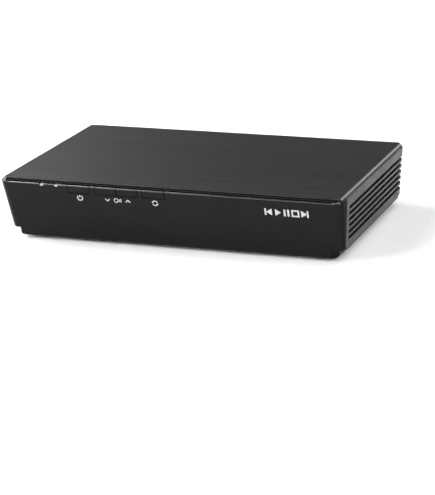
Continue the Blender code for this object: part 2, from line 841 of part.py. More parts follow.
def build_reset_switch():
    half = SWITCH_SIZE / 2
    solid(
        "reset_switch",
        "screw_steel",
        lambda bm: add_box(
            bm, (RESET_X - half, RESET_X + half), (58.4, 61.6), (SEAT_Z, SEAT_Z + SWITCH_SIZE)
        ),
        cuts=(lambda bm: add_cylinder(bm, (RESET_X, RESET_Z), "Y", 1.6, (59.2, 62.6), 16),),
    )
    solid(
        "reset_plunger",
        "port_plastic",
        lambda bm: add_cylinder(bm, (RESET_X, RESET_Z), "Y", 1.2, (60.0, 63.2), 16),
        origin=(RESET_X, 63.2, RESET_Z),
    )


def build_tuner():
    """A shield can, open towards the board, with two threaded antenna sockets on its rear wall."""
    x, y, top = (54.5, 91.0), (23.0, 61.8), SEAT_Z + 14.0

    def inside(bm):
        z = (SEAT_Z - 1.0, top - CAN_WALL)
        add_box(bm, (x[0] + CAN_WALL, x[1] - CAN_WALL), (y[0] + CAN_WALL, y[1] - CAN_WALL), z)

    solid("tuner_can", "port_steel", lambda bm: add_box(bm, x, y, (SEAT_Z, top)), cuts=(inside,))
    tip = BACK_Y + ANTENNA_REACH
    profile = [
        (0.0, 62.1),
        (ANTENNA_RADIUS, 62.1),
        (ANTENNA_RADIUS, tip - 0.4),
        (ANTENNA_RADIUS - 0.4, tip),
        (3.7, tip),
        (3.7, tip - 0.6),
        (0.7, tip - 0.6),
        (0.7, tip - 6.0),
        (0.0, tip - 6.0),
    ]
    for number, x in enumerate(ANTENNA_X, 1):
        solid(
            f"antenna_socket_{number}",
            "port_steel",
            lambda bm, x=x: turned(bm, profile, (x, ANTENNA_Z)),
        )


def turned(bm, profile, centre, steps=24):
    """Spins a closed (radius, y) profile round an axis along Y through centre, an (x, z) pair."""
    middle = Vector((centre[0], 0.0, centre[1])) * MM
    chain = [bm.verts.new(middle + Vector((radius, y, 0.0)) * MM) for radius, y in profile]
    edges = [bm.edges.new(pair) for pair in zip(chain, chain[1:])]
    bmesh.ops.spin(
        bm,
        geom=chain + edges,
        cent=middle,
        axis=(0.0, 1.0, 0.0),
        angle=2 * math.pi,
        steps=steps,
        use_merge=True,
    )
    bmesh.ops.remove_doubles(bm, verts=bm.verts, dist=1e-6)


# Each square port's x, width and top: the rear panel's windows follow them.
PORT_WINDOWS = (
    (HDMI_X, 15.0, SEAT_Z + 6.0),
    (LAN_X, 16.0, SEAT_Z + 13.4),
    (USB_X[0], 13.6, SEAT_Z + 6.2),
    (USB_X[1], 13.6, SEAT_Z + 6.2),
    (OPTICAL_X, 10.0, SEAT_Z + 10.2),
    (DC_X, 9.2, SEAT_Z + 11.0),
)


def main():
    for old in list(bpy.data.objects):
        bpy.data.objects.remove(old)
    build_top_plate()
    build_roof_frame()
    build_front_bezel()
    build_side_panel("right_side_panel", 1)
    build_side_panel("left_side_panel", -1)
    build_base_tray()
    build_rear_panel()
    build_feet()
    build_screws()
    for name, span in KEY_SPANS.items():
        build_key(name, span)
    for name, x in LIGHT_X.items():
        build_light(name, x)
    build_key_board()
    build_ribbon_cable()
    build_main_board()
    build_processor()
    build_power_and_radio()
    build_hdmi_port()
    for number, x in enumerate(USB_X, 1):
        build_usb_port(f"usb_port_{number}", x)
    build_lan_port()
    build_optical_port()
    build_dc_jack()
    build_reset_switch()
    build_tuner()


main()
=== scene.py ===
"""Looks of the streaming media player: finished meshes, procedural materials, lights and camera.

Sizes are in millimetres unless a name says otherwise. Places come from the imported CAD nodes.
"""

import json
import math

import bmesh
import bpy
from mathutils import Matrix, Vector

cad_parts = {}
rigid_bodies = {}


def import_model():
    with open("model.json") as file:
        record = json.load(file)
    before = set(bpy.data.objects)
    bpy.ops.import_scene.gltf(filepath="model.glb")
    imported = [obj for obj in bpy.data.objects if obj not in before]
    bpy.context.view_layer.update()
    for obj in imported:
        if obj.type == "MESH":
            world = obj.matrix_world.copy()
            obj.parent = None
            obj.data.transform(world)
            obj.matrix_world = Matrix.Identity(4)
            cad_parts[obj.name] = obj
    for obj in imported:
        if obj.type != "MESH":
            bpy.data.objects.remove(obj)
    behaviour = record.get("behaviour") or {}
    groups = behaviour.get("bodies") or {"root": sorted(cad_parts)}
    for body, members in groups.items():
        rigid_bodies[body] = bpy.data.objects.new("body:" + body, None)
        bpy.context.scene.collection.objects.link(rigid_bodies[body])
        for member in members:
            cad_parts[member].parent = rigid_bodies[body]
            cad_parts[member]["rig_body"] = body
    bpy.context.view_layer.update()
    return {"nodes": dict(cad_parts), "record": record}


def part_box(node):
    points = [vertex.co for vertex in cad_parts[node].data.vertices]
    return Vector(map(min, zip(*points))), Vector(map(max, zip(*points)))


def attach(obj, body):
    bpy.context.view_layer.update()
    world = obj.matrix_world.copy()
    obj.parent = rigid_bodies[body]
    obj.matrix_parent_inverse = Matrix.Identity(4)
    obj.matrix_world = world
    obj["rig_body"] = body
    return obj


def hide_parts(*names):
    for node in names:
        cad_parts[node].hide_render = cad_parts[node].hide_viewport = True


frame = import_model()
NODES = frame["nodes"]
SLOT_OF = {s["node"]: s["material_slot"] for s in frame["record"]["subparts"]}
MM = 0.001


# ---------------------------------------------------------------- places read from the CAD


def corners(node):
    """A CAD node's lowest and highest corners."""
    low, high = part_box(node)
    return low / MM, high / MM


def middle(node):
    low, high = corners(node)
    return (low + high) / 2


def reach(node, axis, pick, z):
    """How far a CAD node reaches along axis at one of its own heights."""
    found = [v.co[axis] / MM for v in NODES[node].data.vertices if abs(v.co.z / MM - z) < 0.02]
    return pick(found)


NOTCH_RISE = 0.5  # how much higher the notch's lower edge is than the CAD's keys
LIP_MARGIN = 0.4  # keeps measures of the lip off its ends
PANEL_EDGE_RADIUS = 1.2
EDGE_RADIUS = 1.0  # of the bezel's and the keys' top edge

BEZEL_LOW, BEZEL_HIGH = corners("front_bezel")
PANEL_LOW, PANEL_HIGH = corners("right_side_panel")
PLATE_LOW, PLATE_HIGH = corners("top_plate")
PLINTH_Z, RIM_Z, SKIRT_Z = BEZEL_LOW.z, BEZEL_HIGH.z, PANEL_LOW.z
BACK_Y = PANEL_HIGH.y
REAR_FACE_Y = corners("rear_panel")[1].y
NOTCH_Z = corners("power_key")[1].z + NOTCH_RISE
LIP_TOP_Z = SKIRT_Z - LIP_MARGIN
LEAN = reach("front_bezel", 1, min, PLINTH_Z + LIP_MARGIN) - reach("front_bezel", 1, min, LIP_TOP_Z)
LEAN /= LIP_TOP_Z - PLINTH_Z - LIP_MARGIN
FRONT_TOP_Y = reach("front_bezel", 1, min, LIP_TOP_Z) - LEAN * (RIM_Z - LIP_TOP_Z)
ROUND_Z = RIM_Z - PANEL_EDGE_RADIUS
TAPER = reach("right_side_panel", 0, max, ROUND_Z) - reach("right_side_panel", 0, max, SKIRT_Z)
TAPER /= ROUND_Z - SKIRT_Z
HALF_TOP = reach("right_side_panel", 0, max, ROUND_Z) + TAPER * (RIM_Z - ROUND_Z)
LIP_REACH = reach("front_bezel", 0, max, LIP_TOP_Z)

# Bezel and keys
CORNER_RADIUS = 4.5
LIP_RADIUS = 4.0
BEZEL_WALL = 2.2
NOTCH_HALF_WIDTH = 104.5
PLATE_GAP = 0.06
LIP_STEP = 0.8  # height over which the bezel narrows to its lip
KEYS = ("power", "volume_down", "volume_up", "input")
KEY_GAP = 0.35
KEY_FACE_Z = 34.4
PIPE_GAP = 0.3

# Side panels: the seam with the bezel, and the slots from it round the rear corner
PANEL_WALL = 2.0
REAR_RADIUS = 5.0
SEAM_SETBACK = 4.0
SEAM_LEAN = 0.11
SIDE_WRAP = 9.0
SLOT_COUNT = 6
SLOT_FIRST_Z = 13.0
SLOT_PITCH = 3.87
SLOT_HEIGHT = 2.15
SLOT_DROP = 0.8  # how far a slot's lower edge falls towards the inside
SLOT_LEAD = 5.3
SLOT_WRAP = 6.5

# Printed symbols: heights on the front, the transport signs' first and last middle, the ink's depth
SYMBOL_Z = 31.2
MARK_Z = 31.0
MARK_SPAN = (64.4, 86.3)
INK = (-0.03, 0.03)

# Screws, by whether the head is up: a board screw or a case screw
SHANK = {True: 1.2, False: 1.5}
HEAD_HEIGHT = {True: 1.6, False: 1.9}

# Studio
HORIZON_GLOW = 1.0
ROOM_GLOW = 0.01
FLOOR_RADIUS = 1000.0

# Camera: metres and degrees, lens and sensor in millimetres
CAMERA_PLACE = (0.43098, -1.12574, 0.36056)
CAMERA_YAW, CAMERA_PITCH, CAMERA_ROLL = 20.767, 17.446, -1.946
CAMERA_LENS = 143.77
CAMERA_SENSOR = 36.0


def front_y(z):
    return FRONT_TOP_Y + LEAN * (RIM_Z - z)


def half_width(z):
    return HALF_TOP - TAPER * (RIM_Z - z)


def seam_y(z):
    """Where the bezel's return ends and a side panel starts: a seam that leans less than the front."""
    return PANEL_LOW.y + SEAM_SETBACK + SEAM_LEAN * (RIM_Z - z)


# ---------------------------------------------------------------- materials


def shade(name, colour, roughness, metallic=0.0, **sockets):
    """A Principled material with its constants on its own sockets. Returns it, its nodes and its links."""
    made = bpy.data.materials.new(name)
    made.use_nodes = True
    made.diffuse_color = (*colour, 1.0)
    nodes, links = made.node_tree.nodes, made.node_tree.links
    shader = nodes["Principled BSDF"]
    shader.inputs["Base Color"].default_value = (*colour, 1.0)
    shader.inputs["Roughness"].default_value = roughness
    shader.inputs["Metallic"].default_value = metallic
    for key, value in sockets.items():
        shader.inputs[key.replace("_", " ").title().replace("Ior", "IOR")].default_value = value
    return made, nodes, links


def noise(nodes, links, scale, detail=3.0, roughness=0.55):
    """Noise in the object's own space. scale gives its cells per metre along X, Y and Z."""
    place = nodes.new("ShaderNodeTexCoord")
    stretch = nodes.new("ShaderNodeMapping")
    stretch.inputs["Scale"].default_value = scale
    links.new(place.outputs["Object"], stretch.inputs["Vector"])
    grain = nodes.new("ShaderNodeTexNoise")
    grain.inputs["Scale"].default_value = 1.0
    grain.inputs["Detail"].default_value = detail
    grain.inputs["Roughness"].default_value = roughness
    links.new(stretch.outputs["Vector"], grain.inputs["Vector"])
    return grain.outputs["Fac"]


def spread(nodes, links, value, low, high, bottom=0.3, top=0.7):
    """Maps a noise value to the range low to high."""
    ramp = nodes.new("ShaderNodeMapRange")
    ramp.inputs["From Min"].default_value = bottom
    ramp.inputs["From Max"].default_value = top
    ramp.inputs["To Min"].default_value = low
    ramp.inputs["To Max"].default_value = high
    links.new(value, ramp.inputs["Value"])
    return ramp.outputs["Result"]


def tint(nodes, links, value, dark, light, target):
    """Blends two colours by value into a socket."""
    mix = nodes.new("ShaderNodeMix")
    mix.data_type = "RGBA"
    mix.inputs["A"].default_value = (*dark, 1.0)
    mix.inputs["B"].default_value = (*light, 1.0)
    links.new(value, mix.inputs["Factor"])
    links.new(mix.outputs["Result"], target)


def bump(nodes, links, height, distance, strength, onto=None):
    """A bump of distance millimetres, laid over an earlier bump if one is given."""
    relief = nodes.new("ShaderNodeBump")
    relief.inputs["Distance"].default_value = distance * MM
    relief.inputs["Strength"].default_value = strength
    links.new(height, relief.inputs["Height"])
    if onto:
        links.new(onto, relief.inputs["Normal"])
    return relief.outputs["Normal"]


def scaled(colour, factor):
    return tuple(min(1.0, c * factor) for c in colour)


def moulded(name, colour, roughness, grain=4200.0, relief=0.02, contrast=0.18, uneven=0.07, **sockets):
    """Moulded plastic or rubber: a fine sparked texture, uneven gloss and faint colour variation."""
    made, nodes, links = shade(name, colour, roughness, **sockets)
    shader = nodes["Principled BSDF"]
    fine = noise(nodes, links, (grain,) * 3, 2.0)
    broad = noise(nodes, links, (38.0, 38.0, 38.0), 4.0)
    dark, light = scaled(colour, 1 - contrast), scaled(colour, 1 + contrast)
    tint(nodes, links, spread(nodes, links, broad, 0.0, 1.0), dark, light, shader.inputs["Base Color"])
    uneven_gloss = spread(nodes, links, broad, roughness - uneven, roughness + uneven)
    links.new(uneven_gloss, shader.inputs["Roughness"])
    links.new(bump(nodes, links, fine, relief, 0.6), shader.inputs["Normal"])
    return made


def brushed(name, colour, roughness, grain, relief, contrast, metallic=1.0, **sockets):
    """Brushed metal. grain is cells per metre along X, Y and Z, lowest along the strokes."""
    made, nodes, links = shade(name, colour, roughness, metallic, **sockets)
    shader = nodes["Principled BSDF"]
    hair = noise(nodes, links, grain, 5.0, 0.7)
    stroke = noise(nodes, links, tuple(g / 4 for g in grain), 3.0)
    band = noise(nodes, links, tuple(g / 14 for g in grain), 2.0)
    both = nodes.new("ShaderNodeMath")
    both.operation = "MULTIPLY_ADD"
    both.inputs[1].default_value = 0.5
    links.new(stroke, both.inputs[0])
    half_band = nodes.new("ShaderNodeMath")
    half_band.operation = "MULTIPLY"
    half_band.inputs[1].default_value = 0.5
    links.new(band, half_band.inputs[0])
    links.new(half_band.outputs[0], both.inputs[2])
    dark, light = scaled(colour, 1 - contrast), scaled(colour, 1 + contrast)
    blend = spread(nodes, links, both.outputs[0], 0.0, 1.0, 0.35, 0.65)
    tint(nodes, links, blend, dark, light, shader.inputs["Base Color"])
    links.new(spread(nodes, links, hair, roughness - 0.08, roughness + 0.1), shader.inputs["Roughness"])
    coarse = bump(nodes, links, stroke, relief, 0.5)
    links.new(bump(nodes, links, hair, relief / 2, 0.5, coarse), shader.inputs["Normal"])
    return made


def plated(name, colour, roughness):
    """Nickel or zinc plate with faint rolling lines and dulled patches."""
    return brushed(name, colour, roughness, (900.0, 260.0, 3800.0), 0.003, 0.10)


def laminate(name, mask, copper):
    """Circuit board: solder mask over a maze of traces, with small bare pads."""
    made, nodes, links = shade(name, mask, 0.38, coat_weight=0.35, coat_roughness=0.2)
    shader = nodes["Principled BSDF"]
    place = nodes.new("ShaderNodeTexCoord")
    traces = nodes.new("ShaderNodeTexBrick")
    traces.inputs["Scale"].default_value = 260.0
    traces.inputs["Mortar Size"].default_value = 0.035
    traces.inputs["Color1"].default_value = (*scaled(mask, 0.8), 1.0)
    traces.inputs["Color2"].default_value = (*scaled(mask, 1.15), 1.0)
    traces.inputs["Mortar"].default_value = (*scaled(mask, 2.2), 1.0)
    links.new(place.outputs["Object"], traces.inputs["Vector"])
    pads = nodes.new("ShaderNodeTexVoronoi")
    pads.inputs["Scale"].default_value = 330.0
    links.new(place.outputs["Object"], pads.inputs["Vector"])
    pad = spread(nodes, links, pads.outputs["Distance"], 1.0, 0.0, 0.14, 0.17)
    mix = nodes.new("ShaderNodeMix")
    mix.data_type = "RGBA"
    links.new(pad, mix.inputs["Factor"])
    links.new(traces.outputs["Color"], mix.inputs["A"])
    mix.inputs["B"].default_value = (*copper, 1.0)
    links.new(mix.outputs["Result"], shader.inputs["Base Color"])
    links.new(pad, shader.inputs["Metallic"])
    links.new(bump(nodes, links, traces.outputs["Fac"], 0.02, 0.5), shader.inputs["Normal"])
    return made


def striped(name, light, dark, pitch):
    """Flat flexible cable: conductors side by side along X."""
    made, nodes, links = shade(name, light, 0.42)
    shader = nodes["Principled BSDF"]
    place = nodes.new("ShaderNodeTexCoord")
    wave = nodes.new("ShaderNodeTexWave")
    wave.bands_direction = "X"
    wave.inputs["Scale"].default_value = 1.0 / (pitch * MM * 2 * math.pi) * 0.314
    links.new(place.outputs["Object"], wave.inputs["Vector"])
    tint(nodes, links, wave.outputs["Fac"], dark, light, shader.inputs["Base Color"])
    links.new(bump(nodes, links, wave.outputs["Fac"], 0.05, 0.5), shader.inputs["Normal"])
    return made


PLATE_GREY = (0.042, 0.042, 0.0435)
STROKES_ALONG_X = (9.0, 2600.0, 2600.0)
LOOKS = {
    "brushed_plate": brushed(
        "brushed_plate", PLATE_GREY, 0.42, STROKES_ALONG_X, 0.004, 0.22, metallic=0.75
    ),
    "gloss_black": moulded(
        "gloss_black", (0.0048, 0.0048, 0.0051), 0.28, 1500.0, 0.001, 0.10, 0.03, specular_ior_level=0.11
    ),
    "satin_grey": moulded("satin_grey", (0.0225, 0.0225, 0.0234), 0.50, 3600.0, 0.02, 0.08),
    "matte_black": moulded("matte_black", (0.018, 0.018, 0.019), 0.58, 3000.0, 0.04, 0.15),
    "rubber": moulded("rubber", (0.020, 0.020, 0.020), 0.85, 2200.0, 0.05, 0.25),
    "port_plastic": moulded("port_plastic", (0.022, 0.022, 0.024), 0.46, 5000.0, 0.01, 0.12),
    "chip_black": moulded("chip_black", (0.020, 0.020, 0.022), 0.55, 5200.0, 0.02, 0.2),
    "thermal_pad": moulded("thermal_pad", (0.42, 0.47, 0.55), 0.82, 1800.0, 0.04, 0.08),
    "led_resin": moulded("led_resin", (0.85, 0.83, 0.70), 0.3, 900.0, 0.01, 0.05),
    "clear_acrylic": moulded(
        "clear_acrylic", (0.46, 0.48, 0.50), 0.22, 1500.0, 0.005, 0.03, transmission_weight=0.35
    ),
    "screw_steel": plated("screw_steel", (0.42, 0.42, 0.44), 0.32),
    "port_steel": plated("port_steel", (0.62, 0.62, 0.64), 0.27),
    "heat_sink_aluminium": brushed(
        "heat_sink_aluminium", (0.55, 0.56, 0.58), 0.38, (2600.0, 30.0, 2600.0), 0.006, 0.12
    ),
    "circuit_board": laminate("circuit_board", (0.006, 0.034, 0.021), (0.55, 0.38, 0.20)),
    "ribbon": striped("ribbon", (0.78, 0.79, 0.80), (0.42, 0.44, 0.47), 1.0),
}
PRINT = moulded("printed_symbol", (0.40, 0.40, 0.41), 0.6, 3000.0, 0.004, 0.04)
GOLD = plated("gold_contact", (0.83, 0.60, 0.24), 0.24)
POLISHED = moulded(
    "polished_edge", (0.008, 0.008, 0.0085), 0.20, 1500.0, 0.0005, 0.1, 0.03, coat_weight=0.5
)
# Painted shade: a near-black gloss on the plate's bevel, upright edge and underside, darker than the
# plate's metal, for the dark line under its front edge; its reflections are real.
BEVEL_SHADE = moulded(
    "plate_bevel_shade", (0.005, 0.005, 0.0055), 0.14, 1500.0, 0.001, 0.1, 0.02, specular_ior_level=0.35
)
RETURN = moulded(
    "return_black", (0.0085, 0.0085, 0.0087), 0.6, 1500.0, 0.002, 0.1, 0.03, specular_ior_level=0.02
)
# Painted shade: a near-black, barely reflecting look for the sheet behind the side slots, standing in for
# the shade inside the player.
SLOT_SHADE_SCREEN = moulded(
    "slot_shade_screen", (0.005, 0.005, 0.005), 0.8, 2600.0, 0.03, 0.1, specular_ior_level=0.1
)
# Painted highlight: a lighter, fully metallic brushed look on the plate's rounded arrises, so that bright
# lines run along them.
ARRIS_HIGHLIGHT = brushed("plate_arris_highlight", (0.085, 0.085, 0.087), 0.42, STROKES_ALONG_X, 0.001, 0.1)
INSULATOR = moulded("insulator_white", (0.62, 0.61, 0.58), 0.5, 3000.0, 0.01, 0.05)
LABEL = moulded("label_silver", (0.34, 0.34, 0.35), 0.5, 2600.0, 0.004, 0.04)
FLOOR = moulded("floor", (0.83, 0.83, 0.83), 0.85, 300.0, 0.02, 0.01)


# ---------------------------------------------------------------- mesh helpers


def arc(cx, cy, radius, start, end, steps):
    """Points of an arc in a plane, angles in degrees, both ends included."""
    angles = [math.radians(start + (end - start) * i / steps) for i in range(steps + 1)]
    return [(cx + radius * math.cos(a), cy + radius * math.sin(a)) for a in angles]


def rounded_rectangle(x0, x1, y0, y1, radius, steps=8):
    return (
        arc(x1 - radius, y0 + radius, radius, -90, 0, steps)
        + arc(x1 - radius, y1 - radius, radius, 0, 90, steps)
        + arc(x0 + radius, y1 - radius, radius, 90, 180, steps)
        + arc(x0 + radius, y0 + radius, radius, 180, 270, steps)
    )


def skin(bm, rings, cyclic=False):
    """Joins closed rings of equal count with quads, and caps the two ends unless cyclic."""
    loops = [[bm.verts.new(Vector(p) * MM) for p in ring] for ring in rings]
    pairs = list(zip(loops, loops[1:])) + ([(loops[-1], loops[0])] if cyclic else [])
    for one, two in pairs:
        for i, vert in enumerate(one):
            j = (i + 1) % len(one)
            bm.faces.new((vert, one[j], two[j], two[i]))
    if not cyclic:
        bm.faces.new(loops[0][::-1])
        bm.faces.new(loops[-1])


def block(bm, x, y, z):
    """A box between the pairs x, y and z."""
    skin(bm, [[(x[0], y[0], h), (x[1], y[0], h), (x[1], y[1], h), (x[0], y[1], h)] for h in z])


def turned(bm, profile, centre, axis, steps=48):
    """Turns an open (radius, height) profile round an axis, Y or Z, through the point centre."""
    rings = []
    for radius, height in profile:
        ring = []
        for i in range(steps):
            a = 2 * math.pi * i / steps
            u, v = radius * math.cos(a), radius * math.sin(a)
            offset = Vector((u, height, v)) if axis == "Y" else Vector((u, v, height))
            ring.append(Vector(centre) + offset)
        rings.append(ring)
    skin(bm, rings)


def soften(bm, width, segments=2, angle=40.0):
    """Rounds every edge that turns by more than angle degrees."""
    sharp = [e for e in bm.edges if e.is_manifold and e.calc_face_angle(0.0) > math.radians(angle)]
    bmesh.ops.bevel(
        bm,
        geom=sharp,
        offset=width * MM,
        offset_type="OFFSET",
        segments=segments,
        profile=0.5,
        affect="EDGES",
        clamp_overlap=True,
    )


def piece(name, bm, look, body="casing", replaces=(), round_edges=0.0, segments=2, edges=()):
    """Turns a bmesh into a shown piece that rides on a body.

    Each of edges is another look, and a function that picks its faces.
    """
    bmesh.ops.remove_doubles(bm, verts=bm.verts, dist=1e-7)
    bmesh.ops.recalc_face_normals(bm, faces=bm.faces)
    if round_edges:
        soften(bm, round_edges, segments)
    bm.normal_update()
    for number, (_, picks) in enumerate(edges, 1):
        for face in bm.faces:
            if picks(face):
                face.material_index = number
    mesh = bpy.data.meshes.new(name)
    bm.to_mesh(mesh)
    bm.free()
    mesh.materials.append(look)
    for other, _ in edges:
        mesh.materials.append(other)
    mesh.shade_smooth()
    mesh.set_sharp_from_angle(angle=math.radians(38))
    made = bpy.data.objects.new(name, mesh)
    bpy.context.scene.collection.objects.link(made)
    weighted = made.modifiers.new("even_shading", "WEIGHTED_NORMAL")
    weighted.keep_sharp = True
    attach(made, body)
    if replaces:
        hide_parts(*replaces)
    return made


def carve(bm, cutters):
    """Cuts closed shapes, each drawn by a function of a bmesh, out of bm with exact Booleans."""
    target = bpy.data.meshes.new("carve")
    bm.to_mesh(target)
    bm.free()
    body = bpy.data.objects.new("carve", target)
    bpy.context.scene.collection.objects.link(body)
    tools = []
    for number, draw in enumerate(cutters):
        cutter = bmesh.new()
        draw(cutter)
        bmesh.ops.recalc_face_normals(cutter, faces=cutter.faces)
        mesh = bpy.data.meshes.new(f"cutter_{number}")
        cutter.to_mesh(mesh)
        cutter.free()
        tool = bpy.data.objects.new(mesh.name, mesh)
        bpy.context.scene.collection.objects.link(tool)
        modifier = body.modifiers.new(tool.name, "BOOLEAN")
        modifier.operation = "DIFFERENCE"
        modifier.solver = "EXACT"
        modifier.object = tool
        tools.append(tool)
    bpy.context.view_layer.update()
    result = bmesh.new()
    evaluated = body.evaluated_get(bpy.context.evaluated_depsgraph_get())
    result.from_mesh(evaluated.to_mesh())
    evaluated.to_mesh_clear()
    for spare in [body, *tools]:
        mesh = spare.data
        bpy.data.objects.remove(spare)
        bpy.data.meshes.remove(mesh)
    return result


def refined(node, width, segments=2):
    """A copy of a CAD node with its edges rounded, which stands for the node."""
    slot = SLOT_OF[node]
    bm = bmesh.new()
    bm.from_mesh(NODES[node].data)
    bmesh.ops.remove_doubles(bm, verts=bm.verts, dist=1e-6)
    bmesh.ops.dissolve_limit(bm, angle_limit=math.radians(0.5), verts=bm.verts, edges=bm.edges)
    body = NODES[node]["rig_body"]
    return piece(f"{node}_finished", bm, LOOKS[slot], body, (node,), width, segments)


# ---------------------------------------------------------------- top plate


ARRIS_RISE = 0.75  # how upwards a face of the plate's upper arris points at least
FLAT_RISE = 0.995


def on_bevel(face):
    """Whether a face is on the top plate's bevel, its upright edge or its underside."""
    return face.normal.z < ARRIS_RISE


def on_arris(face):
    """Whether a face is on the rounded arris between the top plate's bevel and its flat top."""
    return ARRIS_RISE <= face.normal.z < FLAT_RISE


def make_top_plate():
    """The bevelled plate: a soft lower edge, an upright edge and a broad bevel with rounded arrises."""
    low, high = PLATE_LOW, PLATE_HIGH
    radius, bevel, soft, foot = 3.4, 1.1, 0.2, 0.1
    levels = [(low.z, foot), (low.z + foot, 0.0), (high.z - bevel, 0.0)]
    levels += [(high.z - soft, bevel - soft), (high.z - 0.05, bevel - 0.02), (high.z, bevel + soft)]
    bm = bmesh.new()
    rings = []
    for z, inset in levels:
        outline = rounded_rectangle(
            low.x + inset, high.x - inset, low.y + inset, high.y - inset, radius - inset, 14
        )
        rings.append([(x, y, z) for x, y in outline])
    skin(bm, rings)
    # Painted shade on the bevel, upright edge and underside; painted highlight on the rounded arrises.
    edges = [(BEVEL_SHADE, on_bevel), (ARRIS_HIGHLIGHT, on_arris)]
    look = LOOKS["brushed_plate"]
    piece("top_plate_finished", bm, look, replaces=("top_plate",), edges=edges)


# ---------------------------------------------------------------- front bezel and keys


def bezel_columns():
    """Stations along the bezel, from its right end round the front to its left end."""
    steps = 24
    turn = [90.0 * i / steps for i in range(steps + 1)]
    # close together at the ends, where the top edge rises out of the notch
    face = [0.995, 0.985, 0.975, 0.96, 0.0, -0.96, -0.975, -0.985, -0.995]
    right = [("end", 1, 0.0)] + [("turn", 1, a) for a in turn]
    left = [("turn", -1, a) for a in reversed(turn)] + [("end", -1, 0.0)]
    return right + [("face", 1, f) for f in face] + left


def bezel_point(column, z, inset, width, radius):
    kind, side, value = column
    if kind == "end":
        return Vector((side * (width - inset), seam_y(z), z))
    if kind == "face":
        return Vector((value * (width - radius), front_y(z) + inset, z))
    a = math.radians(value)
    x = width - radius + (radius - inset) * math.cos(a)
    return Vector((side * x, front_y(z) + radius - (radius - inset) * math.sin(a), z))


def smooth_step(value, low, high):
    t = min(1.0, max(0.0, (value - low) / (high - low)))
    return t * t * (3 - 2 * t)


def rounding(radius, steps):
    """(depth below the top, inset) pairs over a rounded top edge."""
    pairs = []
    for i in range(steps + 1):
        a = math.radians(90.0 * i / steps)
        pairs.append((radius * (1 - math.sin(a)), radius * (1 - math.cos(a))))
    return pairs


def bezel_profile(column):
    """One station's closed profile: up the outside, over the rounded edge and down the inside."""
    rise_start, rise_end = NOTCH_HALF_WIDTH - 1.1, NOTCH_HALF_WIDTH + 1.3
    x = abs(bezel_point(column, RIM_Z, 0.0, half_width(RIM_Z), CORNER_RADIUS).x)
    rise = smooth_step(x, rise_start, rise_end)
    top = NOTCH_Z + (PLATE_LOW.z - PLATE_GAP - NOTCH_Z) * rise
    lip = [(PLINTH_Z, 1.0), (PLINTH_Z + 0.3, 0.35), (PLINTH_Z + 0.9, 0.0), (SKIRT_Z, 0.0)]
    outer = [bezel_point(column, z, inset, LIP_REACH, LIP_RADIUS) for z, inset in lip]
    for z, short in ((SKIRT_Z, 1.0), (SKIRT_Z + 0.25, 0.35), (SKIRT_Z + 0.9, 0.0)):
        outer.append(bezel_point(column, z, 0.0, half_width(z) - short, CORNER_RADIUS - short))
    for depth, inset in rounding(EDGE_RADIUS + 0.3 * rise, 6):
        z = top - depth
        outer.append(bezel_point(column, z, inset, half_width(z), CORNER_RADIUS))
    inner = [bezel_point(column, top, BEZEL_WALL, half_width(top), CORNER_RADIUS)]
    z = SKIRT_Z + LIP_STEP
    inner.append(bezel_point(column, z, BEZEL_WALL, half_width(z), CORNER_RADIUS))
    for z in (SKIRT_Z + LIP_STEP / 2, PLINTH_Z):
        inner.append(bezel_point(column, z, BEZEL_WALL, LIP_REACH, LIP_RADIUS))
    return outer + inner


def make_front_bezel():
    bm = bmesh.new()
    skin(bm, [bezel_profile(column) for column in bezel_columns()])
    bmesh.ops.recalc_face_normals(bm, faces=bm.faces)
    beyond = 2.0
    y = (FRONT_TOP_Y - beyond, front_y(NOTCH_Z) + BEZEL_WALL + beyond)
    cutters = []
    for first, last in (("power", "power"), ("volume_down", "volume_up"), ("input", "input")):
        x = (corners(f"{first}_key")[0].x - KEY_GAP, corners(f"{last}_key")[1].x + KEY_GAP)
        z = (KEY_FACE_Z - KEY_GAP, NOTCH_Z + beyond)
        cutters.append(lambda cutter, x=x, z=z: block(cutter, x, y, z))
    for name in ("standby", "network"):
        centre = middle(f"{name}_light_pipe").x
        radius = (corners(f"{name}_light_pipe")[1].x - centre) + PIPE_GAP
        profile = [(radius, y[0]), (radius, y[1])]
        place = (centre, 0.0, NOTCH_Z)
        cutters.append(lambda cutter, p=profile, c=place: turned(cutter, p, c, "Y", 32))
    bm = carve(bm, cutters)
    edges = [(POLISHED, on_rounded_edge), (RETURN, on_return)]
    look = LOOKS["gloss_black"]
    piece("front_bezel_finished", bm, look, replaces=("front_bezel",), edges=edges)


def on_rounded_edge(face):
    """Whether a face is on the rounded edge along the top of the bezel and the keys."""
    centre = face.calc_center_median() / MM
    near_top = centre.z > NOTCH_Z - EDGE_RADIUS * 1.02
    outside = centre.y < front_y(centre.z) + BEZEL_WALL - 0.4 and face.normal.y < 0.05
    return near_top and outside and face.normal.z > -0.15


def on_return(face):
    """Whether a face is on the bezel's returns along the sides or on the lip's sides."""
    in_lip = face.calc_center_median().z / MM < SKIRT_Z + LIP_STEP
    sideways = 0.15 if in_lip else 0.75
    return abs(face.normal.x) > sideways


